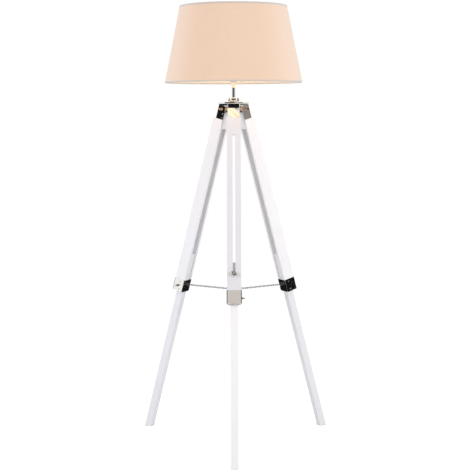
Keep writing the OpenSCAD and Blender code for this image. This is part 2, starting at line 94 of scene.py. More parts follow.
class NodeDesk:
    """Adds shader nodes to one tree and joins them."""

    def __init__(self, tree: bpy.types.NodeTree) -> None:
        """Takes the tree to work on.

        Args:
            tree: A material's, world's or group's node tree.
        """
        self.tree = tree

    def add(self, kind: str, **settings: object) -> bpy.types.Node:
        """Adds a node.

        Args:
            kind: The node's type name without its ShaderNode prefix.
            settings: Properties of the node, by name.

        Returns:
            The new node.
        """
        node = self.tree.nodes.new("ShaderNode" + kind)
        for name, value in settings.items():
            setattr(node, name, value)
        return node

    def feed(self, socket: bpy.types.NodeSocket, value: object) -> None:
        """Joins an output to a socket, or sets the socket's own value.

        Args:
            socket: The input to feed.
            value: An output socket, or a plain number, vector or colour.
        """
        if isinstance(value, bpy.types.NodeSocket):
            self.tree.links.new(value, socket)
        else:
            socket.default_value = value

    def math(self, operation: str, *values: object) -> bpy.types.NodeSocket:
        """Does one sum.

        Args:
            operation: The Math node's operation.
            values: Its inputs, in order.

        Returns:
            The result's socket.
        """
        node = self.add("Math", operation=operation)
        for socket, value in zip(node.inputs, values):
            self.feed(socket, value)
        return node.outputs[0]

    def vector(self, operation: str, *values: object) -> bpy.types.NodeSocket:
        """Does one sum on vectors.

        Args:
            operation: The Vector Math node's operation.
            values: Its inputs, in order. The last one may be SCALE's factor.

        Returns:
            The result's socket.
        """
        node = self.add("VectorMath", operation=operation)
        sockets = [node.inputs[0], node.inputs["Scale"]] if operation == "SCALE" else list(node.inputs)
        for socket, value in zip(sockets, values):
            self.feed(socket, value)
        return node.outputs["Value"] if operation in ("DOT_PRODUCT", "LENGTH") else node.outputs[0]

    def noise(
        self, vector: object, scale: object, detail: float = 2.0, roughness: float = 0.5
    ) -> bpy.types.NodeSocket:
        """Adds a noise texture.

        Args:
            vector: Where it is read.
            scale: Features to a metre, roughly.
            detail: Octaves.
            roughness: Strength of the finer octaves.

        Returns:
            The noise's value, from 0 to 1.
        """
        node = self.add("TexNoise")
        self.feed(node.inputs["Vector"], vector)
        self.feed(node.inputs["Scale"], scale)
        node.inputs["Detail"].default_value = detail
        node.inputs["Roughness"].default_value = roughness
        return node.outputs["Fac"]

    def span(
        self, value: object, low: float, high: float, to_low: float = 0.0, to_high: float = 1.0
    ) -> bpy.types.NodeSocket:
        """Maps a range to another, smoothly and clamped.

        Args:
            value: The value to map.
            low: Start of the range it comes from.
            high: End of that range.
            to_low: What the start becomes.
            to_high: What the end becomes.

        Returns:
            The mapped value's socket.
        """
        node = self.add("MapRange", interpolation_type="SMOOTHSTEP")
        for socket, number in zip(node.inputs, (value, low, high, to_low, to_high)):
            self.feed(socket, number)
        return node.outputs[0]

    def mix(self, factor: object, first: object, second: object) -> bpy.types.NodeSocket:
        """Mixes two colours.

        Args:
            factor: 0 for the first, 1 for the second.
            first: A colour or socket.
            second: A colour or socket.

        Returns:
            The mixed colour's socket.
        """
        node = self.add("Mix", data_type="RGBA")
        for index, value in ((0, factor), (6, first), (7, second)):
            self.feed(node.inputs[index], value)
        return node.outputs[2]


class EffectShelf:
    """Builds each shared shader effect once and keeps it."""

    def __init__(self) -> None:
        """Starts with an empty shelf."""
        self.made: dict[str, bpy.types.NodeTree] = {}

    def place(self, desk: NodeDesk, name: str, **values: object) -> bpy.types.Node:
        """Puts an effect in a material with that material's values.

        Args:
            desk: The material's desk.
            name: The effect's name, a method of this class.
            values: The group's inputs, spaces in their names written as underscores.

        Returns:
            The group's node.
        """
        if name not in self.made:
            self.made[name] = getattr(self, name)()
        node = desk.add("Group")
        node.node_tree = self.made[name]
        for key, value in values.items():
            desk.feed(node.inputs[key.replace("_", " ").capitalize()], value)
        return node

    @staticmethod
    def _group(title: str, inputs: dict[str, str], outputs: dict[str, str]) -> tuple[NodeDesk, dict, dict]:
        """Starts a node group with its sockets.

        Args:
            title: The group's name.
            inputs: Socket types by name.
            outputs: Socket types by name.

        Returns:
            The group's desk, its inputs and its outputs by name.
        """
        tree = bpy.data.node_groups.new(title, "ShaderNodeTree")
        for names, way in ((inputs, "INPUT"), (outputs, "OUTPUT")):
            for name, kind in names.items():
                tree.interface.new_socket(name, in_out=way, socket_type="NodeSocket" + kind)
        source, sink = tree.nodes.new("NodeGroupInput"), tree.nodes.new("NodeGroupOutput")
        return (
            NodeDesk(tree),
            {name: source.outputs[name] for name in inputs},
            {name: sink.inputs[name] for name in outputs},
        )

    def tone_drift(self) -> bpy.types.NodeTree:
        """Returns a group that lightens and darkens a colour slowly over the surface."""
        desk, given, out = self._group(
            "Tone drift",
            {"Vector": "Vector", "Colour": "Color", "Scale": "Float", "Amount": "Float"},
            {"Colour": "Color"},
        )
        coarse = desk.noise(given["Vector"], given["Scale"], 3.0, 0.55)
        shift = desk.math("MULTIPLY_ADD", desk.math("SUBTRACT", coarse, 0.5), given["Amount"], 1.0)
        desk.feed(out["Colour"], desk.vector("SCALE", given["Colour"], shift))
        return desk.tree

    def handling(self) -> bpy.types.NodeTree:
        """Returns the smudges and hairline scratches of a handled, wiped surface."""
        desk, given, out = self._group(
            "Handling",
            {"Vector": "Vector", "Scale": "Float", "Clean": "Float", "Smudged": "Float"},
            {"Roughness": "Float", "Height": "Float"},
        )
        cloud = desk.span(desk.noise(given["Vector"], given["Scale"], 4.0, 0.6), 0.42, 0.72)
        stretched = desk.vector("MULTIPLY", given["Vector"], (1.0, 7.0, 1.6))
        hair = desk.span(desk.noise(stretched, 900.0, 2.0, 0.7), 0.62, 0.78)
        both = desk.math("MAXIMUM", cloud, desk.math("MULTIPLY", hair, 0.5))
        wide = desk.math("SUBTRACT", given["Smudged"], given["Clean"])
        desk.feed(out["Roughness"], desk.math("MULTIPLY_ADD", both, wide, given["Clean"]))
        desk.feed(out["Height"], desk.math("SUBTRACT", 1.0, hair))
        return desk.tree

    @staticmethod
    def _drawn_out(
        desk: NodeDesk, vector: object, along: float, scale: object, detail: float, roughness: float
    ) -> bpy.types.NodeSocket:
        """Adds noise that is drawn out along Z.

        Args:
            desk: The group's desk.
            vector: Where it is read.
            along: How many features Z has to one on X.
            scale: Features to a metre across.
            detail: Octaves.
            roughness: Strength of the finer octaves.

        Returns:
            The noise's value.
        """
        return desk.noise(desk.vector("MULTIPLY", vector, (1.0, 1.0, along)), scale, detail, roughness)

    def painted_grain(self) -> bpy.types.NodeTree:
        """Returns wood grain that shows through a coat of paint, running along Z."""
        desk, given, out = self._group(
            "Painted grain",
            {"Vector": "Vector", "Pores": "Float", "Brush": "Float"},
            {"Height": "Float", "Tone": "Float", "Gloss": "Float"},
        )
        pores = self._drawn_out(desk, given["Vector"], 0.035, given["Pores"], 3.0, 0.6)
        rays = self._drawn_out(desk, given["Vector"], 0.09, 95.0, 2.0, 0.5)
        brush = self._drawn_out(desk, given["Vector"], 0.012, given["Brush"], 1.0, 0.4)
        grain = desk.span(pores, 0.36, 0.62)
        height = desk.math("MULTIPLY_ADD", grain, 0.6, desk.math("MULTIPLY", brush, 0.4))
        desk.feed(out["Height"], height)
        deep, strong = desk.span(pores, 0.3, 0.46, 1.0, 0.0), desk.span(rays, 0.4, 0.6, 0.2, 1.0)
        desk.feed(out["Tone"], desk.math("MULTIPLY", deep, strong))
        desk.feed(out["Gloss"], desk.noise(given["Vector"], 22.0, 3.0, 0.55))
        return desk.tree

    def plain_weave(self) -> bpy.types.NodeTree:
        """Returns threads over and under each other, with slubs, read on a UV map in metres."""
        desk, given, out = self._group(
            "Plain weave",
            {"Vector": "Vector", "Threads": "Float"},
            {"Height": "Float", "Tone": "Float", "Slub": "Float"},
        )
        at = desk.vector("SCALE", given["Vector"], given["Threads"])
        split = desk.add("SeparateXYZ")
        desk.feed(split.inputs[0], at)
        warp, weft = (
            desk.math("ABSOLUTE", desk.math("SINE", desk.math("MULTIPLY", place, math.pi)))
            for place in split.outputs[:2]
        )
        cells = desk.math("ADD", *(desk.math("FLOOR", place) for place in split.outputs[:2]))
        over = desk.math("MODULO", desk.math("ABSOLUTE", cells), 2.0)
        under = desk.math("MULTIPLY", weft, desk.math("SUBTRACT", 1.0, over))
        both = desk.math("ADD", desk.math("MULTIPLY", warp, over), under)
        across, along = (
            desk.noise(desk.vector("MULTIPLY", given["Vector"], stretch), 1.0, 2.0, 0.5)
            for stretch in ((14.0, 420.0, 1.0), (420.0, 10.0, 1.0))
        )
        slub = desk.math("MAXIMUM", desk.span(across, 0.5, 0.74), desk.span(along, 0.54, 0.78))
        desk.feed(out["Height"], desk.math("MULTIPLY_ADD", slub, 0.5, both))
        desk.feed(out["Tone"], desk.math("MULTIPLY_ADD", both, 0.5, 0.5))
        desk.feed(out["Slub"], slub)
        return desk.tree

    def eased_edge(self) -> bpy.types.NodeTree:
        """Returns the mask of rounded edges, whole and broken up where handling has polished them."""
        desk, given, out = self._group(
            "Eased edge", {"Vector": "Vector", "Scale": "Float"}, {"Mask": "Float", "Whole": "Float"}
        )
        edge = desk.add("Attribute", attribute_name="ease")
        broken = desk.span(desk.noise(given["Vector"], given["Scale"], 3.0, 0.6), 0.45, 0.62)
        desk.feed(out["Mask"], desk.math("MULTIPLY", edge.outputs["Fac"], broken))
        desk.feed(out["Whole"], edge.outputs["Fac"])
        return desk.tree


SHELF = EffectShelf()


class Finish:
    """A finish that makes its own material."""

    def material(self) -> bpy.types.Material:
        """Returns the finish's material."""
        raise NotImplementedError

    @staticmethod
    def begin(name: str) -> tuple[bpy.types.Material, NodeDesk, bpy.types.Node]:
        """Starts a material with one Principled shader.

        Args:
            name: The material's name.

        Returns:
            The material, its desk and the shader.
        """
        made = bpy.data.materials.new(name)
        made.use_nodes = True
        made.node_tree.nodes.clear()
        desk = NodeDesk(made.node_tree)
        shader, sink = desk.add("BsdfPrincipled"), desk.add("OutputMaterial")
        desk.feed(sink.inputs["Surface"], shader.outputs[0])
        return made, desk, shader

    @staticmethod
    def tone(
        desk: NodeDesk, vector: object, colour: Colour, scale: float, amount: float
    ) -> bpy.types.NodeSocket:
        """Gives a colour its slow drift.

        Args:
            desk: The material's desk.
            vector: Where the drift is read.
            colour: The colour.
            scale: Features of the drift to a metre.
            amount: How far it lightens and darkens.

        Returns:
            The drifting colour's socket.
        """
        values = {"vector": vector, "colour": (*colour, 1.0), "scale": scale, "amount": amount}
        return SHELF.place(desk, "tone_drift", **values).outputs["Colour"]

    @staticmethod
    def bump(
        desk: NodeDesk, shader: bpy.types.Node, height: object, strength: float, distance: float
    ) -> None:
        """Gives a shader a bump.

        Args:
            desk: The material's desk.
            shader: The Principled shader.
            height: The height's socket.
            strength: The bump's strength.
            distance: The full height in metres.
        """
        node = desk.add("Bump")
        node.inputs["Strength"].default_value = strength
        node.inputs["Distance"].default_value = distance
        desk.feed(node.inputs["Height"], height)
        desk.feed(shader.inputs["Normal"], node.outputs[0])


@dataclass(frozen=True)
class Metal(Finish):
    """Polished, plated or turned metal, rougher where smudged, with a painted dark reflection on its folds if
    a fold colour is given.
    """

    name: str
    colour: Colour
    clean: float
    smudged: float
    drift: float = 0.06
    fold: Optional[Colour] = None

    def material(self) -> bpy.types.Material:
        """Returns metal whose gloss is broken by smudges and hairlines."""
        made, desk, shader = self.begin(self.name)
        place = desk.add("TexCoord").outputs["Object"]
        tone = self.tone(desk, place, self.colour, 60.0, self.drift)
        gloss = {"clean": self.clean, "smudged": self.smudged}
        marks = SHELF.place(desk, "handling", vector=place, scale=38.0, **gloss)
        worn = SHELF.place(desk, "eased_edge", vector=place, scale=140.0)
        bright = tuple(min(1.0, c * 1.12 + 0.03) for c in self.colour)
        # A fold colour is a painted reflection: the rounded folds are coloured as if mirroring dark
        # surroundings.
        edge, mask = (self.fold, "Whole") if self.fold else (bright, "Mask")
        desk.feed(shader.inputs["Base Color"], desk.mix(worn.outputs[mask], tone, (*edge, 1.0)))
        desk.feed(shader.inputs["Roughness"], marks.outputs["Roughness"])
        shader.inputs["Metallic"].default_value = 1.0
        self.bump(desk, shader, marks.outputs["Height"], 0.08, 0.00004)
        return made


@dataclass(frozen=True)
class PaintedWood(Finish):
    """White paint on planed wood, its grain along one leg."""

    name: str
    leg: Matrix
    colour: Colour
    thin: Colour = (0.74, 0.70, 0.665)

    def material(self) -> bpy.types.Material:
        """Returns paint with grain, brush marks and thinner paint along the edges."""
        made, desk, shader = self.begin(self.name)
        turn = desk.add("Mapping", vector_type="TEXTURE")
        turn.inputs["Location"].default_value = self.leg.to_translation()
        turn.inputs["Rotation"].default_value = self.leg.to_euler()
        desk.feed(turn.inputs["Vector"], desk.add("TexCoord").outputs["Object"])
        along = turn.outputs[0]
        grain = SHELF.place(desk, "painted_grain", vector=along, pores=420.0, brush=1300.0)
        tone = self.tone(desk, along, self.colour, 9.0, 0.05)
        worn = SHELF.place(desk, "eased_edge", vector=along, scale=90.0)
        rubbed = desk.math("MULTIPLY", worn.outputs["Mask"], 0.35)
        show = desk.math("MAXIMUM", desk.math("MULTIPLY", grain.outputs["Tone"], 0.16), rubbed)
        desk.feed(shader.inputs["Base Color"], desk.mix(show, tone, (*self.thin, 1.0)))
        desk.feed(shader.inputs["Roughness"], desk.math("MULTIPLY_ADD", grain.outputs["Gloss"], 0.25, 0.26))
        shader.inputs["Specular IOR Level"].default_value = 0.42
        self.bump(desk, shader, grain.outputs["Height"], 0.35, 0.00025)
        return made


@dataclass(frozen=True)
class WovenCloth(Finish):
    """Fine woven cloth on a clear backing, with so many threads to a metre and a painted glow for the light
    behind it.
    """

    name: str
    colour: Colour
    glow: Colour
    glow_strength: float
    threads: float = 2100.0

    def material(self) -> bpy.types.Material:
        """Returns cloth whose slubs stop a little of its painted glow."""
        made, desk, shader = self.begin(self.name)
        cloth = desk.add("UVMap", uv_map="cloth").outputs[0]
        weave = SHELF.place(desk, "plain_weave", vector=cloth, threads=self.threads)
        tone = self.tone(desk, cloth, self.colour, 7.0, 0.04)
        lit = self.tone(desk, cloth, self.glow, 5.0, 0.07)
        dense = tuple(c * f for c, f in zip(self.colour, (0.9, 0.87, 0.83)))
        shade = desk.math("MULTIPLY", weave.outputs["Slub"], 0.14)
        desk.feed(shader.inputs["Base Color"], desk.mix(shade, tone, (*dense, 1.0)))
        thin = desk.math("MULTIPLY_ADD", weave.outputs["Tone"], 0.12, 0.94)
        passed = desk.math("SUBTRACT", thin, desk.math("MULTIPLY", weave.outputs["Slub"], 0.05))
        # Painted light: this emission stands in for the bulb's light coming through the cloth.
        desk.feed(shader.inputs["Emission Color"], desk.vector("SCALE", lit, passed))
        shader.inputs["Emission Strength"].default_value = self.glow_strength
        shader.inputs["Roughness"].default_value = 0.92
        shader.inputs["Sheen Weight"].default_value = 0.25
        shader.inputs["Sheen Roughness"].default_value = 0.5
        shader.inputs["Specular IOR Level"].default_value = 0.2
        self.bump(desk, shader, weave.outputs["Height"], 0.35, 0.00018)
        return made


@dataclass(frozen=True)
class Moulding(Finish):
    """Moulded plastic, enamel or a sprayed coat, with a fine orange-peel skin."""

    name: str
    colour: Colour
    rough: float = 0.35
    peel: float = 700.0
    glow: Colour = (0.0, 0.0, 0.0)
    glow_strength: float = 0.0

    def material(self) -> bpy.types.Material:
        """Returns a softly glossy skin, glowing where a colour of glow is given."""
        made, desk, shader = self.begin(self.name)
        place = desk.add("TexCoord").outputs["Object"]
        smudged = self.rough + 0.18
        marks = SHELF.place(desk, "handling", vector=place, scale=30.0, clean=self.rough, smudged=smudged)
        desk.feed(shader.inputs["Base Color"], self.tone(desk, place, self.colour, 35.0, 0.06))
        desk.feed(shader.inputs["Roughness"], marks.outputs["Roughness"])
        # A glow is painted light on the lining and the sleeve; on the opal glass it is the lit bulb.
        if self.glow_strength:
            desk.feed(shader.inputs["Emission Color"], self.tone(desk, place, self.glow, 8.0, 0.08))
            shader.inputs["Emission Strength"].default_value = self.glow_strength
        self.bump(desk, shader, desk.noise(place, self.peel, 1.0, 0.4), 0.12, 0.00008)
        return made


class Paintbox:
    """Every finish of the lamp, made into a material when it is first asked for."""

    METALS = {
        Slot.CHROME: Metal("Polished chrome", (0.83, 0.82, 0.80), 0.035, 0.13),
        Slot.ZINC: Metal("Bright zinc", (0.66, 0.65, 0.63), 0.16, 0.34, 0.12),
        # Painted shade: the chain steel is coloured near black, for the dark look of the thin chain.
        Slot.CHAIN: Metal("Chain steel darkened as painted shade", (0.095, 0.093, 0.09), 0.26, 0.44, 0.2),
        Slot.BRASS: Metal("Pressed brass", (0.78, 0.60, 0.30), 0.2, 0.4, 0.1),
        Slot.NICKEL: Metal("Bulb cap nickel", (0.68, 0.66, 0.62), 0.18, 0.36, 0.1),
    }
    MOULDINGS = {
        Slot.WIRE: Moulding("White enamelled wire", (0.84, 0.82, 0.78), 0.3),
        Slot.PLASTIC: Moulding("White holder plastic", (0.80, 0.78, 0.74), 0.34),
        Slot.IVORY: Moulding("Ivory contact block", (0.72, 0.67, 0.55), 0.45),
        Slot.DARK: Moulding("Dark bush", (0.03, 0.03, 0.032), 0.5),
        # Painted light: the lining's glow adds to the bulb's real light on its inside.
        Slot.LINING: Moulding("Shade lining", (0.66, 0.60, 0.52), 0.6, 260.0, (1.0, 0.80, 0.58), 0.40),
        Slot.OPAL: Moulding("Opal glass", (0.92, 0.90, 0.86), 0.2, 90.0, (1.0, 0.86, 0.66), 3.0),
    }
    # Painted light: cloth, hems and seam glow by emission for the bulb's light coming through; the doubled
    # hems and seam glow less.
    CLOTH = WovenCloth("Shade cloth", (0.46, 0.40, 0.345), (1.0, 0.53, 0.265), 0.34)
    HEM = WovenCloth("Shade hem", (0.46, 0.44, 0.42), (1.0, 0.66, 0.44), 0.12)
    SEAM = WovenCloth("Shade seam", (0.44, 0.385, 0.33), (1.0, 0.53, 0.265), 0.30)
    # Painted light: the sleeve's white plastic is warmed to cream and given a faint glow, for the shade's
    # warm light falling on it.
    SLEEVE = Moulding("Sleeve with painted warm light", (0.86, 0.78, 0.66), 0.4, 500.0, (1.0, 0.80, 0.55), 0.12)
    GASKET = Moulding("Dark gasket", (0.05, 0.038, 0.028), 0.5, 500.0)
    # Painted reflection: the pivot bolts' brown tint stands in for the shade's warm light mirrored in
    # polished chrome.
    BOLTS = Metal("Chrome bolts with painted warm reflection", (0.42, 0.27, 0.165), 0.07, 0.2, 0.16)
    # Painted reflection: the clamp strap's rounded folds are coloured near black.
    STRAP = Metal("Chrome strap with painted dark folds", (0.83, 0.82, 0.80), 0.035, 0.13, fold=(0.13, 0.125, 0.12))
    # Painted reflection: wing nuts and thumb screws are a dark warm brown, for chrome mirroring dark
    # surroundings and warm light.
    KNOBS = Metal("Knobs with painted dark warm reflection", (0.30, 0.25, 0.17), 0.2, 0.4, 0.16)

    def __init__(self) -> None:
        """Starts with no material made."""
        self.made: dict[str, bpy.types.Material] = {}

    def of(self, finish: Finish) -> bpy.types.Material:
        """Makes a finish once.

        Args:
            finish: The finish.

        Returns:
            Its material.
        """
        if finish.name not in self.made:
            self.made[finish.name] = finish.material()
        return self.made[finish.name]

    def slot(self, slot: Slot) -> bpy.types.Material:
        """Finds the finish of a material slot.

        Args:
            slot: A metal's or a moulding's slot.

        Returns:
            Its material.
        """
        return self.of(self.METALS[slot] if slot in self.METALS else self.MOULDINGS[slot])

    @staticmethod
    def dress(material: bpy.types.Material, *nodes: str) -> None:
        """Gives CAD nodes a material.

        Args:
            material: The material.
            nodes: The nodes' names.
        """
        for name in nodes:
            for slot in frame["nodes"][name].material_slots:
                slot.material = material


PAINTS = Paintbox()


# ---------------------------------------------------------------- mesh work


class MeshWork:
    """A mesh being made with bmesh operators, in metres and in its own axes."""

    def __init__(self) -> None:
        """Starts with an empty mesh that can mark its eased edges."""
        self.bm = bmesh.new()
        self.eased = False
        self.ease_mark = self.bm.faces.layers.float.new("ease")

    @classmethod
    def of_node(cls, name: str, place: Matrix = IDENTITY) -> "MeshWork":
        """Copies a CAD node, with its triangles merged to whole faces.

        Args:
            name: The node's name.
            place: The axes to work in, as a matrix from them to the lamp's.

        Returns:
            The copy, in those axes.
        """
        work = cls()
        work.bm.from_mesh(frame["nodes"][name].data)
        work.ease_mark = work.bm.faces.layers.float.get("ease") or work.bm.faces.layers.float.new("ease")
        bmesh.ops.transform(work.bm, matrix=place.inverted(), verts=work.bm.verts)
        bmesh.ops.remove_doubles(work.bm, verts=work.bm.verts, dist=2e-6)
        flat = math.radians(0.6)
        bmesh.ops.dissolve_limit(work.bm, angle_limit=flat, verts=work.bm.verts, edges=work.bm.edges)
        return work

    def lathe(self, profile: Profile, steps: int, closed: bool = True) -> "MeshWork":
        """Turns a profile about Z.

        Args:
            profile: Radius and height of its points, in order.
            steps: Facets round the circle.
            closed: Whether the last point joins the first.

        Returns:
            This work.
        """
        points = [self.bm.verts.new((r, 0.0, z)) for r, z in profile]
        ends = points[1:] + points[:1] if closed else points[1:]
        edges = [self.bm.edges.new(pair) for pair in zip(points, ends)]
        bmesh.ops.spin(
            self.bm, geom=points + edges, cent=(0, 0, 0), axis=(0, 0, 1), angle=math.tau, steps=steps,
            use_merge=True,
        )
        bmesh.ops.remove_doubles(self.bm, verts=self.bm.verts, dist=1e-7)
        bmesh.ops.recalc_face_normals(self.bm, faces=self.bm.faces)
        return self

    def ease(
        self, radius: float, segments: int, angle: float, where: Optional[EdgeTest] = None
    ) -> "MeshWork":
        """Rounds sharp edges.

        Args:
            radius: Width of the rounding.
            segments: Facets across it.
            angle: Edges that turn by more than this many degrees are rounded.
            where: A test of an edge's two ends, for edges that may be rounded.

        Returns:
            This work.
        """
        sharp = [
            e
            for e in self.bm.edges
            if len(e.link_faces) == 2
            and e.calc_face_angle(0.0) > math.radians(angle)
            and (where is None or where(e.verts[0].co, e.verts[1].co))
        ]
        made = bmesh.ops.bevel(
            self.bm, geom=sharp, offset=radius, offset_type="OFFSET", segments=segments, profile=0.5,
            affect="EDGES", material=-1, clamp_overlap=True,
        )
        for face in made["faces"]:
            face[self.ease_mark] = 1.0
        self.eased = True
        return self

    def piece(
        self, name: str, material: bpy.types.Material, slot: Slot, body: str,
        place: Matrix = IDENTITY, sharp: float = 32.0,
    ) -> bpy.types.Object:
        """Finishes the mesh as a piece that rides on a body.

        Args:
            name: The piece's name.
            material: Its material.
            slot: The material slot of its finish; not used.
            body: The body it moves with.
            place: The move from its own axes to the lamp's.
            sharp: Edges that turn by more degrees than this stay crisp.

        Returns:
            The piece.
        """
        bmesh.ops.transform(self.bm, matrix=place, verts=self.bm.verts)
        mesh = bpy.data.meshes.new(name)
        self.bm.to_mesh(mesh)
        self.bm.free()
        mesh.shade_smooth()
        mesh.set_sharp_from_angle(angle=math.radians(sharp))
        mesh.materials.append(material)
        made = placed(name, mesh)
        if self.eased:
            true = made.modifiers.new("True faces", "WEIGHTED_NORMAL")
            true.mode, true.weight, true.keep_sharp = "FACE_AREA", 60, True
        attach(made, body)
        log.info("%s: %d faces, on %s", name, len(mesh.polygons), body)
        return made


def placed(name: str, data: bpy.types.ID, place: Matrix = IDENTITY) -> bpy.types.Object:
    """Returns a new object in the scene, holding some data."""
    made = bpy.data.objects.new(name, data)
    made.matrix_world = place
    bpy.context.scene.collection.objects.link(made)
    return made


def spot(x: float, y: float, z: float) -> Matrix:
    """Returns a move by x, y and z."""
    return Matrix.Translation((x, y, z))


def turn(degrees: float, axis: str) -> Matrix:
    """Returns a turn about X, Y or Z."""
    return Matrix.Rotation(math.radians(degrees), 4, axis)


def longer_than(limit: float) -> EdgeTest:
    """Returns a test that passes edges longer than a limit."""
    return lambda a, b: (a - b).length > limit


# ---------------------------------------------------------------- sub-assemblies


@dataclass
class Shade:
    """The tapered drum: cloth on a clear lining, hems rolled over two wires, one glued seam."""

    low: float = 1.192
    height: float = 0.248
    bottom_r: float = 0.225
    top_r: float = 0.1745
    cloth_t: float = 0.0007
    seam_azimuth: float = 97.0
    seam_width: float = 0.014
    seam_rise: float = 0.00035
    seam_margin: float = 0.004
    steps: int = 144

    def radius(self, height: float) -> float:
        """Returns the outside radius at a height above the shade's bottom edge."""
        return self.bottom_r + (self.top_r - self.bottom_r) * height / self.height

    def map_cloth(self, work: MeshWork, start: float) -> None:
        """Lays a UV map in metres round the cone, its join hidden at the seam.

        Args:
            work: The mesh.
            start: The azimuth where the map starts, in radians.
        """
        layer = work.bm.loops.layers.uv.new("cloth")
        mean = (self.bottom_r + self.top_r) / 2
        for face in work.bm.faces:
            middle = face.calc_center_median()
            centre = (math.atan2(middle.y, middle.x) - start) % math.tau
            for loop in face.loops:
                at = (math.atan2(loop.vert.co.y, loop.vert.co.x) - start) % math.tau
                at += math.tau * round((centre - at) / math.tau)
                loop[layer].uv = (at * mean, loop.vert.co.z - self.low)

    def hem(
        self, end: str, edge: float, inward: int, lap: float, tail: float, step: float
    ) -> bpy.types.Object:
        """Makes a hem rolled over one of the shade's wires.

        Args:
            end: The end it is on, for its name.
            edge: Height of that end above the bottom edge.
            inward: 1 where the shade is above that end, -1 where it is below.
            lap: How far the hem comes down the outside.
            tail: How far its thin end runs up the inside.
            step: Where the thin end begins.

        Returns:
            The piece.
        """
        section = (
            (0.0004, lap), (0.0005, 0.0012), (0.0001, 0.0), (-0.0030, -0.0004), (-0.0062, 0.0006),
            (-0.0066, 0.0036), (-0.0042, 0.0052), (-0.0015, tail), (-0.0011, tail), (-0.0008, step),
        )
        heights = [(out, edge + inward * along) for out, along in section]
        work = MeshWork().lathe([(self.radius(z) + out, self.low + z) for out, z in heights], self.steps)
        self.map_cloth(work, math.radians(self.seam_azimuth))
        return work.piece("shade_hem_" + end, PAINTS.of(Paintbox.HEM), Slot.FABRIC, "head", sharp=50.0)

    def cloth(self) -> bpy.types.Object:
        """Makes the stretched cloth, with the faint waves that gluing leaves.

        Returns:
            The cloth.
        """
        rows = 20
        levels = [self.height * i / rows for i in range(rows + 1)]
        outside = [(self.radius(level), self.low + level) for level in levels]
        inside = [(r - self.cloth_t, z) for r, z in reversed(outside)]
        work = MeshWork().lathe(outside + inside, self.steps)
        for vert in work.bm.verts:
            round_ = math.atan2(vert.co.y, vert.co.x)
            up = (vert.co.z - self.low) / self.height
            wave = 0.00016 * math.sin(3 * round_ + 0.6) + 0.00010 * math.sin(7 * round_ + 4.0 * up)
            swell = math.sin(math.pi * min(1.0, max(0.0, up)))
            grow = 1.0 + (wave - 0.00022) * swell / vert.co.xy.length
            vert.co.x *= grow
            vert.co.y *= grow
        self.map_cloth(work, math.radians(self.seam_azimuth))
        cloth = work.piece("shade_cloth", PAINTS.of(Paintbox.CLOTH), Slot.FABRIC, "head", sharp=50.0)
        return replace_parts(cloth, "shade_cover")

    def seam(self) -> bpy.types.Object:
        """Makes the overlap where the cloth's two ends are glued.

        Returns:
            The strip.
        """
        work, half = MeshWork(), 0.5
        bmesh.ops.create_cube(work.bm, size=2 * half)
        for axis, cuts in ((2, 24), (1, 3)):
            along = [e for e in work.bm.edges if abs(e.verts[0].co[axis] - e.verts[1].co[axis]) > half]
            bmesh.ops.subdivide_edges(work.bm, edges=along, cuts=cuts, use_grid_fill=True)
        slope = turn(self.seam_azimuth, "Z")
        for vert in work.bm.verts:
            up = self.seam_margin + (self.height - 2 * self.seam_margin) * (vert.co.z + half)
            out = self.radius(up) + self.seam_rise * (vert.co.x + half) - 0.0001
            round_ = vert.co.y * self.seam_width / out
            vert.co = slope @ Vector((out * math.cos(round_), out * math.sin(round_), self.low + up))
        self.map_cloth(work, math.radians(self.seam_azimuth + 180.0))
        return work.piece("shade_seam", PAINTS.of(Paintbox.SEAM), Slot.FABRIC, "head", sharp=40.0)

    def build(self) -> None:
        """Makes the shade and dresses its lining and wires."""
        cloth = self.cloth()
        bottom_hem = self.hem("bottom", 0.0, 1, lap=0.0040, tail=0.0085, step=0.0052)
        top_hem = self.hem("top", self.height, -1, lap=0.0058, tail=0.0088, step=0.0058)
        seam = self.seam()
        PAINTS.dress(PAINTS.slot(Slot.LINING), "shade_liner")
        PAINTS.dress(PAINTS.slot(Slot.WIRE), "shade_carrier", "shade_top_wire")


@dataclass
class Bulb:
    """An opal globe on a screw cap."""

    centre: float = BULB_HEIGHT
    radius: float = 0.030
    neck_r: float = 0.0148
    neck_low: float = 1.2535

    def build(self) -> None:
        """Makes the globe with a neck that flows into it."""
        low, neck, steps = self.neck_low, self.neck_r, 18
        profile = [(0.0, low), (neck - 0.0006, low), (neck, low + 0.002), (neck + 0.0004, low + 0.006)]
        for i in range(steps + 1):
            angle = math.radians(-52.0 + 142.0 * i / steps)
            out, up = self.radius * math.cos(angle), self.radius * math.sin(angle)
            profile.append((max(0.0, out), self.centre + up))
        globe = MeshWork().lathe(profile, 48, closed=False)
        made = globe.piece("bulb_opal_globe", PAINTS.slot(Slot.OPAL), Slot.OPAL, "bulb", sharp=60.0)
        made.visible_shadow = False
        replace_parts(made, "bulb_globe")
        PAINTS.dress(PAINTS.slot(Slot.NICKEL), "bulb_cap")


class LampHolder:
    """The lamp holder on the neck, with its threaded shade ring."""

    def build(self) -> None:
        """Dresses the holder's pieces."""
        PAINTS.dress(PAINTS.slot(Slot.PLASTIC), "holder_cap", "holder_body", "shade_ring")
        PAINTS.dress(PAINTS.slot(Slot.IVORY), "socket_insert")
        PAINTS.dress(PAINTS.slot(Slot.BRASS), "socket_sleeve")


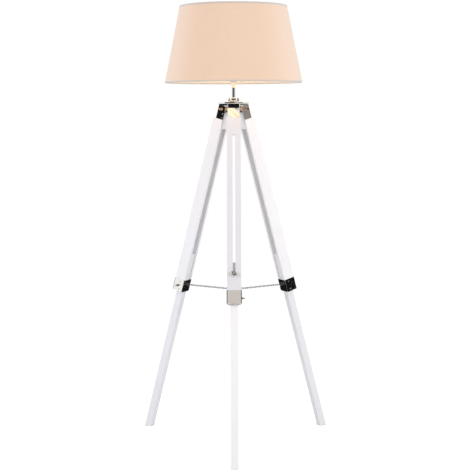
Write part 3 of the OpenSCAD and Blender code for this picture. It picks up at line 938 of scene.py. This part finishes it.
@dataclass
class Hub:
    """The polished plate, the yoke under it, and the neck's foot, gasket and sleeve."""

    plate_low: float = 1.1235
    plate_high: float = 1.1295
    plate_r: float = 0.050
    bore_r: float = 0.007
    base_r: float = 0.021
    base_t: float = 0.003
    foot_bore_r: float = 0.005
    tube_r: float = 0.00655
    groove_r: float = 0.0070
    sleeve_r: float = 0.0071
    sleeve_h: float = 0.0195
    sleeve_t: float = 0.0005
    groove: tuple[float, float] = (0.0028, 0.0068)
    gasket: tuple[float, float] = (0.0069, 0.0077)

    def plate(self) -> None:
        """Turns the plate with a fully rounded rim."""
        low, high = self.plate_low, self.plate_high
        section = [(self.bore_r, low), (self.plate_r, low), (self.plate_r, high), (self.bore_r, high)]
        work = MeshWork().lathe(section, 128)
        work.ease(0.0011, 4, 40.0, lambda a, b: a.xy.length > 0.8 * self.plate_r)
        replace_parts(work.piece("hub_disc", PAINTS.slot(Slot.CHROME), Slot.CHROME, "head"), "hub_plate")

    def foot(self) -> None:
        """Turns the neck's foot: flange, shoulder, groove and collar, with a gasket in the groove."""
        base, wide, bore, rim, steps = self.plate_high, self.base_r, self.foot_bore_r, 0.0007, 6
        top = base + self.base_t
        profile = [(bore, base), (wide, base), (wide, top - rim), (wide - rim, top), (0.0134, top)]
        for i in range(steps + 1):
            angle = math.radians(90.0 * i / steps)
            profile.append((0.0110 + 0.0022 * math.cos(angle), top + 0.0002 + 0.0022 * math.sin(angle)))
        profile += [(0.0074, top + 0.0026), (self.groove_r, top + 0.0032), (self.groove_r, top + 0.0066)]
        steps = 8
        for i in range(steps + 1):
            angle = math.radians(-90.0 + 180.0 * i / steps)
            bulge = max(0.0, math.cos(angle)) ** 0.6
            profile.append((0.0072 + 0.0013 * bulge, top + 0.0092 + 0.0023 * math.sin(angle)))
        profile += [(self.tube_r, top + 0.0118), (self.tube_r, base + 0.002), (bore, base + 0.002)]
        work = MeshWork().lathe(profile, 96)
        made = work.piece("neck_foot", PAINTS.slot(Slot.CHROME), Slot.CHROME, "head", sharp=38.0)
        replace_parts(made, "neck_base")
        low, high = (top + height for height in self.groove)
        inner, outer = self.gasket
        ring = MeshWork().lathe([(inner, low), (outer, low), (outer, high), (inner, high)], 64)
        ring.piece("neck_gasket", PAINTS.of(Paintbox.GASKET), Slot.PLASTIC, "head")

    def sleeve(self) -> None:
        """Turns the plastic sleeve between the neck and the lamp holder; its white is warmed to cream and
        given a faint glow as painted warm light.
        """
        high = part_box("holder_cap")[0][2]
        low, outer, inner = high - self.sleeve_h, self.sleeve_r, self.sleeve_r - self.sleeve_t
        section = [(inner, low), (outer - 0.0002, low), (outer, low + 0.0004), (outer, high), (inner, high)]
        work = MeshWork().lathe(section, 64)
        work.piece("neck_sleeve", PAINTS.of(Paintbox.SLEEVE), Slot.PLASTIC, "head")

    def build(self) -> None:
        """Makes and dresses the hub."""
        self.plate()
        self.foot()
        yoke = MeshWork.of_node("hub_yoke")
        yoke.ease(0.0007, 2, 50.0, lambda a, b: min(a.xy.length, b.xy.length) > 0.012)
        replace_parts(yoke.piece("hub_arms", PAINTS.slot(Slot.CHROME), Slot.CHROME, "head"), "hub_yoke")
        self.sleeve()
        PAINTS.dress(PAINTS.slot(Slot.CHROME), "neck_tube")
        PAINTS.dress(PAINTS.slot(Slot.ZINC), "hub_screws", "hub_nuts")
        PAINTS.dress(PAINTS.of(Paintbox.BOLTS), "pivot_bolts", "pivot_nuts")
        PAINTS.dress(PAINTS.slot(Slot.DARK), "cord_grommet")


@dataclass
class Leg:
    """One telescopic leg with its brackets, bolt, wing nut and thumb screw, its white paint toned as painted
    light and shade.
    """

    # Painted light and shade: one white paint, toned for each leg's post and then its bar, darkest on the
    # front post, for how the light falls on each.
    LIT_AND_SHADED_WHITES: ClassVar[dict[Side, tuple[Colour, Colour]]] = {
        Side.FRONT: ((0.70, 0.68, 0.705), (0.84, 0.82, 0.815)),
        Side.RIGHT: ((0.89, 0.88, 0.885), (0.80, 0.795, 0.81)),
        Side.LEFT: ((0.875, 0.865, 0.88), (0.82, 0.82, 0.85)),
    }
    LONG_EDGE: ClassVar[float] = 0.02
    side: Side
    depth: float = 0.036
    end: float = 0.639
    place: Matrix = field(default_factory=Matrix)

    def __post_init__(self) -> None:
        """Finds the leg's own axes: X out, Y across and Z up the leg, from the pivot."""
        joints = {j["name"]: j for j in frame["joints"]}
        fold, slide = joints[f"fold_{self.side.value}"], joints[f"slide_{self.side.value}"]
        across, up = Vector(fold["axis"]).normalized(), Vector(slide["axis"]).normalized()
        out = across.cross(up)
        turned = Matrix((out, across, up)).transposed().to_4x4()
        self.place = Matrix.Translation(fold["pos_m"]) @ turned

    def named(self, part: str) -> str:
        """Returns a part's name on this leg."""
        return f"{part}_{self.side.value}"

    def post_edge(self, a: Vector, b: Vector) -> bool:
        """Tells the edges along and round the outer face of the upper post."""
        return (a - b).length > self.LONG_EDGE or min(a.x, b.x) > self.depth / 2 - 1e-4

    def fold_edge(self, a: Vector, b: Vector) -> bool:
        """Tells a strap's folds, which run up the leg on its outer half."""
        straight_up = abs(a.x - b.x) < 1e-5 and abs(a.y - b.y) < 1e-5
        return (a - b).length > self.LONG_EDGE and straight_up and a.x > 0.005

    def foot_edge(self, a: Vector, b: Vector) -> bool:
        """Tells the clamp's lower edge across its outer face."""
        outer, lowest = min(a.x, b.x) > self.depth / 2, max(a.z, b.z) < -self.end + 0.009
        return (a - b).length > self.LONG_EDGE and outer and lowest

    def eased(
        self, part: str, title: str, body: str, material: bpy.types.Material, slot: Slot,
        steps: Sequence[Rounding],
    ) -> bpy.types.Object:
        """Copies a part of this leg and rounds its edges.

        Args:
            part: The CAD part, without the side.
            title: The piece's name, without the side.
            body: The body, without the side.
            material: Its material.
            slot: Its material slot.
            steps: Radius, facets and test of each rounding, in order.

        Returns:
            The piece.
        """
        work = MeshWork.of_node(self.named(part), self.place)
        for radius, segments, where in steps:
            work.ease(radius, segments, 50.0, where)
        made = work.piece(self.named(title), material, slot, self.named(body), self.place)
        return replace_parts(made, self.named(part))

    def build(self) -> None:
        """Makes and dresses the leg's pieces."""
        upper, lower = self.LIT_AND_SHADED_WHITES[self.side]
        # Lit and shaded copies of the one white paint, for this leg's post and bar.
        paint = PAINTS.of(PaintedWood(self.named("White paint"), self.place, upper))
        bar_paint = PAINTS.of(PaintedWood(self.named("White bar paint"), self.place, lower))
        chrome, zinc = PAINTS.slot(Slot.CHROME), PAINTS.slot(Slot.ZINC)
        strap = PAINTS.of(Paintbox.STRAP)
        self.eased("upper_leg", "upper_post", "leg", paint, Slot.WOOD, [(0.0011, 3, self.post_edge)])
        bar_steps = [(0.0011, 3, longer_than(0.015))]
        self.eased("lower_leg", "lower_bar", "slider", bar_paint, Slot.WOOD, bar_steps)
        top_steps = [(0.0016, 5, self.fold_edge), (0.0003, 2, longer_than(0.004))]
        self.eased("top_bracket", "top_strap", "leg", chrome, Slot.CHROME, top_steps)
        clamp_steps = [(0.0028, 6, self.fold_edge), (0.0013, 3, self.foot_edge)]
        self.eased("clamp_bracket", "clamp_strap", "leg", strap, Slot.CHROME, clamp_steps)
        self.eased("guide_plate", "guide_shoe", "leg", chrome, Slot.CHROME, [(0.0003, 2, None)])
        PAINTS.dress(zinc, self.named("bracket_screws"), self.named("slide_bolt"), self.named("slide_washer"))
        PAINTS.dress(PAINTS.of(Paintbox.KNOBS), self.named("wing_nut"), self.named("thumb_screw"))
        PAINTS.dress(PAINTS.slot(Slot.CHAIN), self.named("eye_screw"))


class Spreader:
    """The three chains and the ring that joins them."""

    def build(self) -> None:
        """Dresses the chains."""
        names = [f"chain_{side.value}" for side in Side]
        PAINTS.dress(PAINTS.slot(Slot.CHAIN), "chain_ring", *names)


# ---------------------------------------------------------------- studio


@dataclass(frozen=True)
class Softbox:
    """A square area light, its size in metres and its power in watts."""

    name: str
    at: Point
    aim: Point
    size: float
    power: float
    colour: Colour

    def hang(self) -> bpy.types.Object:
        """Hangs the softbox, facing its aim.

        Returns:
            The softbox.
        """
        data = bpy.data.lights.new(self.name, "AREA")
        data.shape, data.size = "SQUARE", self.size
        data.energy, data.color = self.power, self.colour
        way = (Vector(self.aim) - Vector(self.at)).to_track_quat("-Z", "Y").to_matrix().to_4x4()
        made = placed(self.name, data, Matrix.Translation(self.at) @ way)
        made.visible_glossy = False
        return made


@dataclass
class Studio:
    """A pale floor, soft light all round and the camera."""

    KEYS: ClassVar[tuple[Softbox, ...]] = (
        Softbox("Key left", (-1.95, -1.25, 1.45), (0, 0, 0.8), 1.0, 21.5, (0.98, 0.98, 1.0)),
        Softbox("Key right", (1.95, -1.25, 1.5), (0, 0, 0.8), 1.0, 26.0, (1.0, 0.99, 0.98)),
    )
    RIMS: ClassVar[tuple[Softbox, ...]] = (
        Softbox("Rim left", (-1.3, 0.78, 1.32), (0, 0, 1.32), 0.3, 10.0, (0.36, 0.72, 1.0)),
        Softbox("Rim right", (1.42, 0.52, 1.32), (0, 0, 1.32), 0.5, 7.0, (0.36, 0.72, 1.0)),
    )
    distance: float = 3.993
    eye_height: float = 1.103
    orbit: float = 0.30
    pitch: float = -5.90
    roll: float = -0.26
    yaw: float = -0.033
    lens: float = 92.66

    def camera(self) -> None:
        """Sets the camera in front of the lamp, a little below the hub."""
        data = bpy.data.cameras.new("Camera")
        data.lens, data.sensor_width = self.lens, 36.0
        data.clip_start, data.clip_end = 0.05, 60.0
        aim = turn(self.yaw, "Z") @ turn(90.0 + self.pitch, "X") @ turn(self.roll, "Z")
        stand = turn(self.orbit, "Z") @ spot(0.0, -self.distance, self.eye_height)
        bpy.context.scene.camera = placed("Camera", data, stand @ aim)

    def plane(
        self, name: str, width: float, depth: float, place: Matrix, finish: bpy.types.Material
    ) -> bpy.types.Object:
        """Adds a flat sheet to the studio.

        Args:
            name: Its name.
            width: Its size on its own X.
            depth: Its size on its own Y.
            place: Where it stands.
            finish: Its material.

        Returns:
            The sheet.
        """
        bm = bmesh.new()
        bmesh.ops.create_grid(bm, x_segments=1, y_segments=1, size=0.5)
        bmesh.ops.scale(bm, vec=(width, depth, 1.0), verts=bm.verts)
        bmesh.ops.transform(bm, matrix=place, verts=bm.verts)
        mesh = bpy.data.meshes.new(name)
        bm.to_mesh(mesh)
        bm.free()
        mesh.materials.append(finish)
        made = placed(name, mesh)
        return made

    def floor(self) -> None:
        """Lays the pale floor."""
        made, desk, shader = Finish.begin("Pale floor")
        place = desk.add("TexCoord").outputs["Object"]
        desk.feed(shader.inputs["Base Color"], Finish.tone(desk, place, (0.86, 0.86, 0.86), 2.0, 0.02))
        shader.inputs["Roughness"].default_value = 0.9
        shader.inputs["Specular IOR Level"].default_value = 0.1
        shader.inputs["Emission Color"].default_value = (1.0, 1.0, 1.0, 1.0)
        shader.inputs["Emission Strength"].default_value = 0.32
        dim, either = desk.add("BsdfDiffuse"), desk.add("MixShader")
        dim.inputs["Color"].default_value = (0.50, 0.50, 0.51, 1.0)
        desk.feed(either.inputs[0], desk.add("LightPath").outputs["Is Diffuse Ray"])
        desk.feed(either.inputs[1], shader.outputs[0])
        desk.feed(either.inputs[2], dim.outputs[0])
        sink = next(node for node in made.node_tree.nodes if node.type == "OUTPUT_MATERIAL")
        desk.feed(sink.inputs["Surface"], either.outputs[0])
        self.plane("studio_floor", 16.0, 16.0, spot(0.0, 0.0, -0.0005), made)

    def flags(self) -> None:
        """Stands dark flags where polished metal should mirror something dark."""
        made, _, shader = Finish.begin("Studio flag")
        shader.inputs["Base Color"].default_value = (0.01, 0.01, 0.012, 1.0)
        shader.inputs["Roughness"].default_value = 1.0
        shader.inputs["Specular IOR Level"].default_value = 0.0
        stands = (
            ("flag_right", 1.6, 0.62, spot(1.75, -0.6, 0.31) @ turn(65.0, "Z") @ turn(90.0, "X")),
            ("flag_low_right", 0.8, 0.9, spot(0.85, 0.85, 0.01)),
            ("flag_low_left", 0.8, 0.9, spot(-0.85, 0.85, 0.01)),
        )
        for name, width, depth, place in stands:
            card = self.plane(name, width, depth, place, made)
            card.visible_camera = card.visible_diffuse = False
            card.visible_shadow = card.visible_transmission = False

    def surround(self) -> None:
        """Lights the room: brightest from beside the camera, dimmer from behind, and dark in some mirrors."""
        world = bpy.data.worlds.new("Studio")
        world.use_nodes = True
        world.node_tree.nodes.clear()
        bpy.context.scene.world = world
        desk = NodeDesk(world.node_tree)
        way = desk.add("TexCoord").outputs["Generated"]
        split = desk.add("SeparateXYZ")
        desk.feed(split.inputs[0], way)
        x, y, z = split.outputs
        behind, beside, front = (0.58, 0.59, 0.62, 1.0), (0.96, 0.96, 0.98, 1.0), (0.66, 0.65, 0.65, 1.0)
        soft = desk.mix(desk.span(y, -0.3, 0.6, 1.0, 0.0), behind, beside)
        soft = desk.mix(desk.span(y, -0.98, -0.5, 1.0, 0.0), soft, front)
        facing = desk.span(y, -0.42, -0.24, 1.0, 0.0)
        level = desk.math("MULTIPLY", desk.span(z, 0.14, 0.26, 1.0, 0.0), facing)
        grey = desk.mix(desk.span(x, 0.5, 0.85), (0.46, 0.44, 0.42, 1.0), (0.30, 0.27, 0.24, 1.0))
        dark = desk.mix(desk.span(x, 0.0, 0.2), (0.010, 0.010, 0.012, 1.0), grey)
        ahead = desk.mix(facing, (1.0, 1.0, 1.02, 1.0), (0.70, 0.655, 0.62, 1.0))
        mirror = desk.mix(level, ahead, dark)
        path = desk.add("LightPath")
        shown = desk.mix(path.outputs["Is Glossy Ray"], soft, mirror)
        shown = desk.mix(path.outputs["Is Camera Ray"], shown, (1.0, 1.0, 1.0, 1.0))
        lit, sink = desk.add("Background"), desk.add("OutputWorld")
        desk.feed(lit.inputs["Color"], shown)
        lit.inputs["Strength"].default_value = 1.0
        desk.feed(sink.inputs["Surface"], lit.outputs[0])

    def lamps(self) -> None:
        """Hangs the softboxes, the rim lights on the shade alone, and lights the bulb."""
        for key in self.KEYS:
            key.hang()
        shade_only = bpy.data.collections.new("Shade for its rim lights")
        for name in ("shade_cloth", "shade_hem_bottom", "shade_hem_top", "shade_seam"):
            shade_only.objects.link(bpy.data.objects[name])
        for rim in self.RIMS:
            rim.hang().light_linking.receiver_collection = shade_only
        data = bpy.data.lights.new("Lit bulb", "POINT")
        data.energy, data.color, data.shadow_soft_size = 1.3, (1.0, 0.78, 0.50), 0.024
        placed("Lit bulb", data, spot(0.0, 0.0, BULB_HEIGHT))

    def build(self) -> None:
        """Sets up the studio."""
        scene = bpy.context.scene
        scene.view_settings.view_transform = "Standard"
        scene.view_settings.look = "None"
        self.camera()
        self.surround()
        self.floor()
        self.flags()


def main() -> None:
    """Builds the studio and the lamp."""
    logging.basicConfig(level=logging.INFO, format="%(name)s: %(message)s")
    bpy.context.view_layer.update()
    studio = Studio()
    studio.build()
    Shade().build()
    Bulb().build()
    LampHolder().build()
    Hub().build()
    for side in Side:
        Leg(side).build()
    Spreader().build()
    studio.lamps()


if __name__ == "__main__":
    main()
